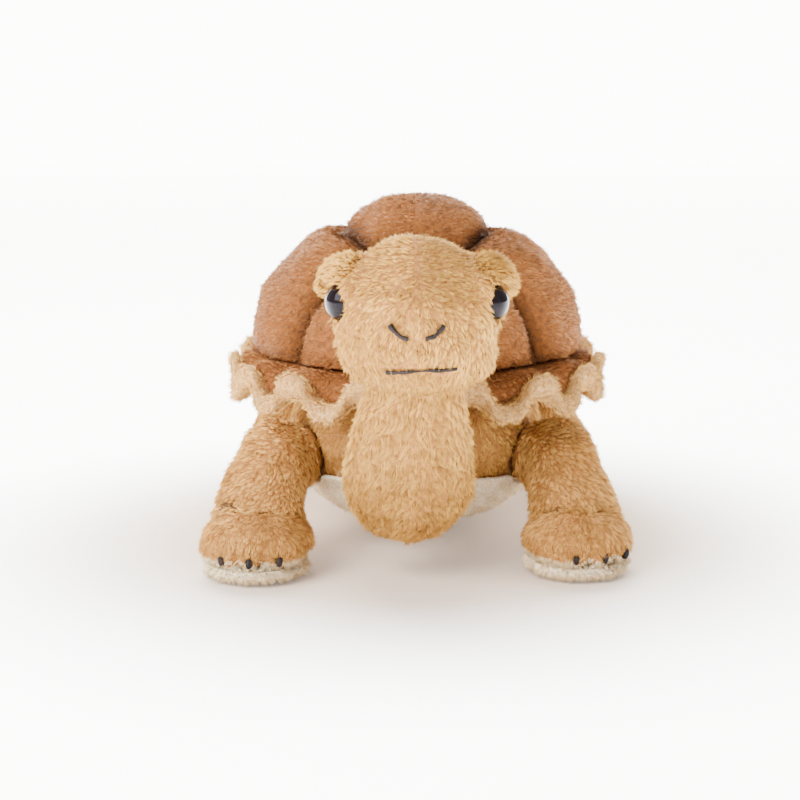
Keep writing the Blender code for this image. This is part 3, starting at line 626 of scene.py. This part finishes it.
def pile(skin, own, body, fibre, nap, count, length, width=fibre_width, lie=0.7,
         clump_size=12, clump=0.55, stray=0.04, avoid=(), bare=(), chosen=None, even=0.0,
         crease=None, name=None, seed=1):
    """The pile of one skin: fibres that lean over along the nap and gather in clumps.

    Real pile is about 0.05 mm thick, too fine for the render, so the fibres are drawn
    coarser. Lie is how far they lean, from 0, upright, to 1, flat. None grows next to the
    bare solids, or reaches those to avoid. Chosen picks the places that bear fibres. Even
    takes the difference out of the tufts. Crease says how deep in a crease each place lies;
    the tone is lowered there as painted shade, the shade that falls in a crease.
    """
    draw = np.random.default_rng(seed)
    places, normals = scattered(skin, count, seed)
    keep = open_to_air(places, normals, own, pile_clearance)
    if chosen:
        keep &= chosen(places)
    if bare:
        keep &= ~near_any(places, bare, close_edge)
    places, normals = places[keep], normals[keep]
    amount = len(places)

    # The way and the length of each fibre
    flow = nap(places, normals)
    flow = unit(flow - normals * np.sum(flow * normals, axis=1, keepdims=True))
    side = np.cross(normals, flow)
    turn = 0.35 * wander(places, 8 * mm, seed + 1) + 0.18 * wander(places, 3 * mm, seed + 2)
    turn += draw.normal(scale=0.2, size=amount)
    flow = flow * np.cos(turn)[:, None] + side * np.sin(turn)[:, None]
    share = 1 + 0.15 * wander(places, 9 * mm, seed + 3) + draw.normal(scale=0.12, size=amount)
    tall = length * share
    loose = draw.uniform(size=amount) < stray
    lean = np.clip(lie + draw.normal(scale=0.09, size=amount), 0.05, 0.97)
    lean[loose] *= 0.55
    reach = unit(normals * (1 - lean)[:, None] + flow * lean[:, None])
    root = places - normals * fibre_root
    tip = root + reach * tall[:, None]

    # The tips of a clump lean towards that of its leader
    leaders = np.flatnonzero(draw.uniform(size=amount) < 1 / clump_size)
    tree = KDTree(len(leaders))
    for index, leader in enumerate(leaders):
        tree.insert(places[leader], index)
    tree.balance()
    leader = leaders[np.array([tree.find(place)[1] for place in places])]
    pull = clump * (1 - 0.8 * loose)
    tip = tip + (tip[leader] - tip) * pull[:, None]
    tip[:, 2] = np.maximum(tip[:, 2], lowest_tip)
    root[:, 2] = np.maximum(root[:, 2], lowest_root)
    shade_of = draw.uniform(size=amount)
    if avoid:
        halfway = (root + tip) / 2
        clear = ~(near_any(halfway, avoid, close_edge) | near_any(tip, avoid, close_edge))
        root, tip, normals, flow, leader = (
            values[clear] for values in (root, tip, normals, flow, leader))

    across = np.cross(flow, normals)
    tone = 0.5 * shade_of[leader] + 0.3 * draw.uniform(size=len(root))
    tone = tone + 0.2 * (0.5 + 0.5 * wander(root, 10 * mm, seed + 4))
    tone = np.clip(tone, 0, 1) * (1 - even) + 0.6 * even
    # Painted shade: a lower tone darkens the fibres deep in a crease.
    if crease:
        tone *= 1 - crease(root)
    thickness = width * draw.uniform(0.75, 1.2, size=len(root))
    item = fibre_mesh(name or skin.name.replace("_skin", "") + "_pile",
                      root, tip, thickness, across, normals, tone)
    item.data.materials.append(fibre)
    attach(item, body)


# Naps: the way the fibres lie on each form
def downwards(places, normals):
    return np.tile(np.array([0.0, -0.15, -1.0]), (len(places), 1))


def down_and_out(places, normals):
    """Parted on the middle line, down and outwards to both sides."""
    flow = downwards(places, normals)
    flow[:, 0] = 0.45 * np.clip(places[:, 0] / (6 * mm), -1, 1)
    return flow


def round_the_nose(places, normals):
    """Down over the nose, and in arcs round it from the forehead to the chin."""
    x = places[:, 0] - nose_middle.x
    z = places[:, 2] - nose_middle.z
    side = np.clip(x / (9 * mm), -1, 1)
    flow = unit(np.stack([side * z, 0.3 * np.abs(x), -np.abs(x) - 4 * mm], axis=1))
    near = np.exp(-(x ** 2 + z ** 2) / (9 * mm) ** 2)[:, None]
    flow = flow * (1 - near) + np.array([0.0, 0.0, -1.0]) * near
    chin = np.clip((mouth_height - places[:, 2]) / (4 * mm), 0, 1)[:, None]
    flow = flow * (1 - chin) + np.array([0.0, 0.2, -1.0]) * chin
    back = np.clip((places[:, 1] - face_back) / (20 * mm), 0, 1)[:, None]
    return flow * (1 - back) + np.array([0.0, 0.7, -0.7]) * back


def out_from_brow(places, normals):
    """Outwards and down over the eye."""
    flow = normals.copy()
    flow[:, 2] -= 0.35
    flow[:, 0] += 0.6 * np.sign(places[:, 0])
    flow[:, 1] -= 0.3
    return flow


def around_shell(places, normals):
    """Sideways round the shell, and a little down."""
    sign = np.where(places[:, 0] < 0, -1.0, 1.0)
    round_it = np.stack([-normals[:, 1], normals[:, 0], np.zeros(len(places))], axis=1)
    flow = round_it * sign[:, None]
    flow[:, 2] -= 0.35
    return flow


def out_over_rim(places, normals):
    flow = places - np.array(shell_middle)
    flow[:, 2] = -4 * mm
    return flow


def backwards(places, normals):
    return np.tile(np.array([0.0, 1.0, -0.35]), (len(places), 1))


def to_the_toes(places, normals):
    flow = places - places.mean(axis=0)
    flow[:, 2] = -10 * mm
    return unit(flow)


def out_of_sole(places, normals):
    """Down round the edge, and back underneath, so that nothing spreads over the floor."""
    flow = unit(places - places.mean(axis=0))
    flow[:, 2] = -0.6
    flow[normals[:, 2] < -0.5] = (0.0, 1.0, 0.0)
    return flow


# Shapes pressed into the skins
stitches = ("left_nostril_stitch", "right_nostril_stitch", "mouth_stitch")
eyes = ("left_eye", "right_eye")
brows = ("left_brow", "right_brow")
claw_places = ("left", "middle", "right")


stitch_pull, stitch_pull_width = 0.9 * mm, 2.2 * mm
nose_rise, nose_rise_width, nose_rise_height = 1.4 * mm, 11 * mm, 6 * mm
brow_fillet, brow_top, brow_fade = 2.8 * mm, 111 * mm, 7 * mm
eye_cover, eye_cover_front, eye_cover_fade = 1.1 * mm, -98 * mm, 3 * mm
fillet_width = 4.5 * mm
seam_depth, seam_width = 3.4 * mm, 4.6 * mm
panel_lift, panel_lift_start = 1.8 * mm, 12 * mm
# How far from a seam the painted shade of a crease reaches, on the backing and on the pile.
backing_shade_width, pile_shade_width = 3.5 * mm, 5.5 * mm
belly_sag, belly_sag_width = 5 * mm, 42 * mm
parting_depth, parting_width, parting_height, parting_start = 1.7 * mm, 1.7 * mm, 9 * mm, 12 * mm


def hump(distance, width):
    """A smooth bump: 1 at no distance, and small beyond the width."""
    return np.exp(-(distance / width) ** 2)


def face_shaping(points):
    """Stitches that draw the skin in, the nose, and fur round the brows and the eyes.

    The nose stands out above the nostrils. The skin rises towards each brow, so that the
    two run together, and over the inner side of each eye.
    """
    amount = np.zeros(len(points))
    front = np.flatnonzero(points[:, 1] < nose_middle.y + 22 * mm)
    for part in stitches:
        amount[front] -= stitch_pull * hump(distance_to(points[front], part), stitch_pull_width)
    x, z = points[front, 0], points[front, 2] - nose_middle.z - 7 * mm
    amount[front] += nose_rise * np.exp(-(x / nose_rise_width) ** 2 - (z / nose_rise_height) ** 2)
    for part in brows:
        top = np.clip((points[:, 2] - brow_top) / brow_fade, 0, 1)
        amount += brow_fillet * (1 - 0.75 * top) * hump(distance_to(points, part), fillet_width)
    for part in eyes:
        ahead = np.clip((eye_cover_front - points[:, 1]) / eye_cover_fade, 0, 1)
        amount += eye_cover * ahead * hump(distance_to(points, part), fillet_width)
    return amount


def to_next_panel(points, part):
    """How far each point of a panel lies from its neighbours, across the seams."""
    nearest = np.full(len(points), 1.0)
    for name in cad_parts:
        if name.startswith("shell_") and name.endswith("_panel") and name != part:
            nearest = np.minimum(nearest, distance_to(points, name))
    return nearest


def quilted(item, part):
    """Sinks the panel's rim towards the shell's middle, and lifts the panel's own middle."""
    points = points_of(item)
    nearest = to_next_panel(points, part)
    own = tree_of(part)
    out = unit(points - np.array(shell_middle))
    facing = np.array([own.find_nearest(Vector(point))[1] @ Vector(way)
                       for point, way in zip(points, out)])
    rim_share = np.clip((facing + 0.25) / 0.6, 0, 1)
    outer_share = np.clip((facing - 0.3) / 0.4, 0, 1)
    sunk = seam_depth * np.exp(-(nearest / seam_width) ** 1.4) * rim_share
    raised = panel_lift * (1 - hump(nearest, panel_lift_start)) * outer_share
    place_points(item, points + out * (raised - sunk)[:, None])
    # Painted shade: the crease weight darkens the backing near the seams.
    crease = item.data.attributes.new("crease", "FLOAT", "POINT")
    crease.data.foreach_set("value", hump(nearest, backing_shade_width))


def belly_shaping(points):
    """The filling sinks into the belly, most of all in the middle."""
    low = np.clip((points[:, 2].max() - 4 * mm - points[:, 2]) / (8 * mm), 0, 1)
    return belly_sag * low * hump(points[:, 0], belly_sag_width)


def toe_shaping(foot):
    """Two partings that run up from between the three claws."""
    claws = [points_of(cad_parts[f"{foot}_{place}_claw"]).mean(axis=0)
             for place in claw_places]
    between = [(claws[0] + claws[1]) / 2, (claws[1] + claws[2]) / 2]

    def shaping(points):
        middle = points.mean(axis=0)
        amount = np.zeros(len(points))
        for spot in between:
            out = unit((spot - middle)[None, :2])[0]
            reach = (points[:, :2] - middle[:2]) @ out
            aside = (points[:, :2] - middle[:2]) @ np.array([-out[1], out[0]])
            height = hump(points[:, 2] - parting_height, parting_height)
            depth = parting_depth * hump(aside, parting_width)
            amount -= depth * height * np.clip(reach / parting_start, 0, 1)
        return amount
    return shaping


def in_cream(places):
    """The places on a paw below the wavy edge where the tan plush begins."""
    return places[:, 2] < cream_edge + 0.5 * mm * wander(places, 7 * mm, 9)


def in_tan(places):
    return ~in_cream(places)


# The shell: seven quilted panels over their filling, and the two layers of the rim
panels = ["front", "crown", "rear", "left_front", "left_rear", "right_front", "right_rear"]
for number, panel in enumerate(panels):
    part = f"shell_{panel}_panel"
    skin = stuffed_skin(part + "_skin", part, "trunk", brown_backing,
                        voxel=panel_voxel, rounds=4, inset=0.8 * mm, lumps=0.9 * mm)
    quilted(skin, part)
    # The panels' pile is darker near the seams, painted shade of the creases.
    pile(skin, {part}, "trunk", brown_fibre, around_shell, 23000, 2.8 * mm,
         width=fine_fibre_width, lie=0.74, clump_size=10, clump=0.7, stray=0.02, even=0.15,
         crease=lambda places, part=part: hump(to_next_panel(places, part), pile_shade_width),
         seed=100 + number)
stuffed_skin("shell_filling_skin", "shell_stuffing", "trunk", fibre_fill,
             voxel=filling_voxel, cap=0, inset=1.5 * mm, lumps=0)

rim = ruffle_skin("shell_rim_skin", "shell_rim", brown_backing)
lining = ruffle_skin("rim_lining_skin", "rim_lining", lining_backing)
rim_parts = {"shell_rim", "rim_lining"}
pile(rim, rim_parts, "trunk", brown_fibre, out_over_rim, 48000, 2.6 * mm,
     width=fine_fibre_width, lie=0.74, clump_size=10, clump=0.7, even=0.2, seed=120)
pile(lining, rim_parts, "trunk", lining_fibre, out_over_rim, 46000, 2.6 * mm,
     width=fine_fibre_width, lie=0.6, clump=0.5, seed=121)

# The body, the belly panel and the tail
body_skin = stuffed_skin("body_skin", "body", "trunk", tan_backing,
                         voxel=body_voxel)
pile(body_skin, {"body"}, "trunk", lit_tan_fibre, down_and_out, 40000, 3.0 * mm,
     seed=130)
belly_skin = stuffed_skin("belly_skin", "belly_panel", "trunk", cream_backing,
                          voxel=panel_voxel, rounds=3, cap=0, inset=0.6 * mm, lumps=0,
                          shaping=belly_shaping)
pile(belly_skin, {"belly_panel", "body"}, "trunk", cream_fibre, backwards,
     24000, 2.8 * mm, seed=131)
tail_skin = stuffed_skin("tail_skin", "tail", "tail", tan_backing,
                         voxel=fine_voxel, rounds=3, inset=1.2 * mm)
pile(tail_skin, {"tail"}, "tail", tan_fibre, backwards, 7000, 2.8 * mm, seed=132)

# The neck, which hangs a little to the toy's own right, and the head
neck_skin = stuffed_skin("neck_skin", "neck", "neck", tan_backing)
points = points_of(neck_skin)
points[:, 0] -= neck_drift * np.clip((neck_drift_top - points[:, 2]) / neck_drift_reach, 0, 1)
place_points(neck_skin, points)
pile(neck_skin, {"neck", "head"}, "neck", lit_tan_fibre, down_and_out,
     46000, 3.4 * mm, clump=0.7, seed=140)
head_skin = stuffed_skin("head_skin", "head", "head", tan_backing,
                         voxel=head_voxel, rounds=5, shaping=face_shaping)
pile(head_skin, {"head", "neck", *brows}, "head", lit_tan_fibre, round_the_nose,
     52000, 2.9 * mm, clump=0.7, avoid=eyes, bare=stitches + brows, seed=141)
for number, (side, sign) in enumerate((("left", -1), ("right", 1))):
    brow_skin = stuffed_skin(side + "_brow_skin", side + "_brow", "head", tan_backing,
                             voxel=fine_voxel, rounds=3, inset=1.2 * mm,
                             lumps=0.5 * mm, carve=(hood_side * sign, hood_forward, hood_height))
    pile(brow_skin, {side + "_brow", "head"}, "head", lit_tan_fibre,
         out_from_brow, 12000, 3.0 * mm, lie=0.6, clump=0.7, avoid=(side + "_eye",),
         bare=("head",), seed=142 + number)


def stitched(part, body, moved, tilt=0, stouter=0, uneven=0.2 * mm, grain=1.6 * mm):
    """A raised stitch of several threads, uneven along its length."""
    item = copy_of_solid(part + "_thread", part)
    remeshed(item, stitch_voxel, 2)
    apply_modifier(item, "DISPLACE", {"strength": stouter, "mid_level": 0.0})
    thinner = 0.5 + 0.5 * np.clip(wander(points_of(item), grain, 7), -1, 1)
    pushed(item, thinner, -uneven)
    middle = Vector(points_of(item).mean(axis=0))
    back = Matrix.Translation(middle + Vector(moved))
    item.data.transform(back @ Matrix.Rotation(tilt, 4, "Y") @ Matrix.Translation(-middle))
    stands_for(item, part, body, thread)


def domed_eye(part, x):
    """A moulded dome with a rounded edge, on its shank."""
    across = math.sin(eye_turn) * math.cos(eye_lift)
    direction = Vector(
        (x * across, -math.cos(eye_turn) * math.cos(eye_lift), math.sin(eye_lift)))
    points = points_of(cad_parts[part])
    top = Vector(points[np.argmax(points @ np.array(direction))])
    bpy.ops.object.select_all(action="DESELECT")
    bpy.ops.mesh.primitive_uv_sphere_add(segments=48, ring_count=24, radius=eye_radius)
    dome = bpy.context.object
    dome.name = part + "_dome"
    in_edit_mode(dome, bpy.ops.transform.resize, value=(1, 1, eye_dome / eye_radius),
                 center_override=(0, 0, 0))
    bpy.ops.object.select_all(action="DESELECT")
    bpy.ops.mesh.primitive_cylinder_add(
        vertices=24, radius=shank_radius, depth=shank_length,
        location=(0, 0, -shank_length / 2 - eye_dome * 0.9))
    bpy.ops.object.transform_apply()
    dome.select_set(True)
    bpy.context.view_layer.objects.active = dome
    bpy.ops.object.join()
    turn = direction.to_track_quat("Z", "Y").to_matrix().to_4x4()
    dome.data.transform(Matrix.Translation(top - direction * (eye_dome - eye_proud)) @ turn)
    dome.data.shade_smooth()
    stands_for(dome, part, "head", resin)


# The legs, paws and soles: a strip of cream pile runs up from each sole to the claws
for number, foot in enumerate(("front_left", "front_right", "rear_left", "rear_right")):
    body = foot + "_leg"
    leg, paw, sole = foot + "_leg", foot + "_paw", foot + "_sole"
    front = foot.startswith("front")
    claw_parts = tuple(f"{foot}_{place}_claw" for place in claw_places)
    leg_skin = stuffed_skin(leg + "_skin", leg, body, tan_backing)
    pile(leg_skin, {leg, paw}, body, tan_fibre,
         down_and_out if front else downwards, 26000 if front else 20000, 3.3 * mm,
         clump=0.65, seed=150 + number)
    paw_skin = stuffed_skin(paw + "_skin", paw, body, tan_backing,
                            voxel=fine_voxel, inset=0.9 * mm, shaping=toe_shaping(foot))
    paw_count = 19000 if front else 13000
    pile(paw_skin, {paw, leg, sole}, body, tan_fibre, to_the_toes, paw_count,
         2.9 * mm, chosen=in_tan, seed=160 + number)
    pile(paw_skin, {paw, leg, sole}, body, cream_fibre, out_of_sole, paw_count,
         3.5 * mm, lie=0.66, chosen=in_cream, name=sole + "_edge_pile", seed=180 + number)
    sole_skin = stuffed_skin(sole + "_skin", sole, body, cream_backing,
                             voxel=fine_voxel, rounds=3, cap=0.6 * mm, inset=1.1 * mm, lumps=0)
    pile(sole_skin, {sole, paw}, body, cream_fibre, out_of_sole,
         15000 if front else 10000, 2.7 * mm, lie=0.36, bare=claw_parts + (paw,),
         seed=170 + number)
    for part in claw_parts:
        claw_middle = points_of(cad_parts[part]).mean(axis=0)
        out = unit((claw_middle - points_of(paw_skin).mean(axis=0))[None, :2])[0]
        stitched(part, body, moved=(out[0] * claw_out, out[1] * claw_out, claw_rise),
                 stouter=0.35 * mm)

# The face: stitches half sunk in the fur, the mouth a little askew, eyes and washers
for part in stitches[:2]:
    stitched(part, "head", moved=(0, 1.2 * mm, 0), stouter=0.5 * mm, uneven=0.45 * mm,
             grain=9 * mm)
stitched("mouth_stitch", "head", moved=(1.5 * mm, 1.4 * mm, 0), tilt=math.radians(-3),
         stouter=0.4 * mm, uneven=0.5 * mm, grain=9 * mm)
domed_eye("left_eye", -1)
domed_eye("right_eye", 1)
for part in eyes:
    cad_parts[part + "_washer"].data.materials.clear()
    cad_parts[part + "_washer"].data.materials.append(washer_plastic)


# Stage, light and camera
def within(tree, away, nearest, furthest, start, end):
    """A value that runs smoothly from start to end between two distances."""
    return node(tree, "ShaderNodeMapRange",
                {"interpolation_type": "SMOOTHSTEP", "From Min": nearest, "From Max": furthest,
                 "To Min": start, "To Max": end},
                {"Value": away.outputs["Value"]}).outputs["Result"]


def stage():
    """Matt white paper, faintly clouded, as its pulp makes it.

    Close to the toy it is tinted brownish: painted shadow, with the toy's bounced colour in it.
    Further out it glows: painted light, as if lit from behind, weakest close to the toy.
    """
    bpy.ops.object.select_all(action="DESELECT")
    bpy.ops.mesh.primitive_plane_add(size=floor_side, location=(0, 0, 0))
    floor = bpy.context.object
    floor.name = "studio_floor"
    bpy.ops.mesh.primitive_plane_add(
        size=wall_side, location=(0, wall_distance, wall_side / 2), rotation=(math.pi / 2, 0, 0))
    wall = bpy.context.object
    wall.name = "studio_wall"
    for item, near in ((floor, floor_glow), (wall, far_glow)):
        material, tree, shader = new_material(item.name + "_white_paper")
        place = node(tree, "ShaderNodeTexCoord", {})
        grain = node(tree, "ShaderNodeTexNoise", {"Scale": 1 / paper_cloud},
                     {"Vector": place.outputs["Object"]})
        ramp = colour_ramp(tree, grain.outputs["Fac"],
                           [(0.3, srgb("#F6F5F3")), (0.7, srgb("#F8F7F5"))])
        away = node(tree, "ShaderNodeVectorMath", {"operation": "LENGTH"},
                    {0: place.outputs["Object"]})
        # Painted shadow: close to the toy the paper is tinted brownish, with the toy's bounced
        # colour.
        shadow_share = within(tree, away, painted_shadow_starts, painted_shadow_ends, 1.0, 0.0)
        shadow_tint = node(tree, "ShaderNodeMix", {"data_type": "RGBA", 7: srgb("#DCC6B0")},
                    {0: shadow_share, 6: ramp.outputs["Color"]})
        tree.links.new(shadow_tint.outputs[2], shader.inputs["Base Color"])
        # Painted light: the paper glows, the floor least close to the toy.
        glow = within(tree, away, glow_starts, glow_is_full, near, far_glow)
        tree.links.new(glow, shader.inputs["Emission Strength"])
        shader.inputs["Emission Color"].default_value = srgb("#FFFEFC")
        shader.inputs["Roughness"].default_value = 0.9
        shader.inputs["Specular IOR Level"].default_value = 0.1
        item.data.materials.append(material)


def area_light(name, spot, width, power):
    light = bpy.data.lights.new(name, "AREA")
    light.shape = "SQUARE"
    light.size = width
    light.energy = power
    item = bpy.data.objects.new(name, light)
    bpy.context.scene.collection.objects.link(item)
    item.location = spot
    way = Vector(light_target) - Vector(spot)
    item.rotation_euler = way.to_track_quat("-Z", "Y").to_euler()


def camera():
    data = bpy.data.cameras.new("photo_camera")
    data.lens = camera_lens
    data.sensor_width = sensor_side
    data.shift_x = -photo_left_shift / photo_side
    data.clip_start = camera_clip_start
    data.clip_end = camera_clip_end
    item = bpy.data.objects.new("photo_camera", data)
    bpy.context.scene.collection.objects.link(item)
    back = Vector((0, -math.cos(camera_height_angle), math.sin(camera_height_angle)))
    item.location = aim + back * camera_distance
    item.rotation_euler = (math.pi / 2 - camera_height_angle, 0, 0)
    bpy.context.scene.camera = item


stage()
world = bpy.data.worlds.new("soft_white_room")
bpy.context.scene.world = world
world.use_nodes = True
world.node_tree.nodes["Background"].inputs["Color"].default_value = (1, 1, 1, 1)
world.node_tree.nodes["Background"].inputs["Strength"].default_value = room_strength
area_light("key_softbox", key_spot, key_width, key_power)
area_light("top_softbox", top_spot, top_width, top_power)
camera()
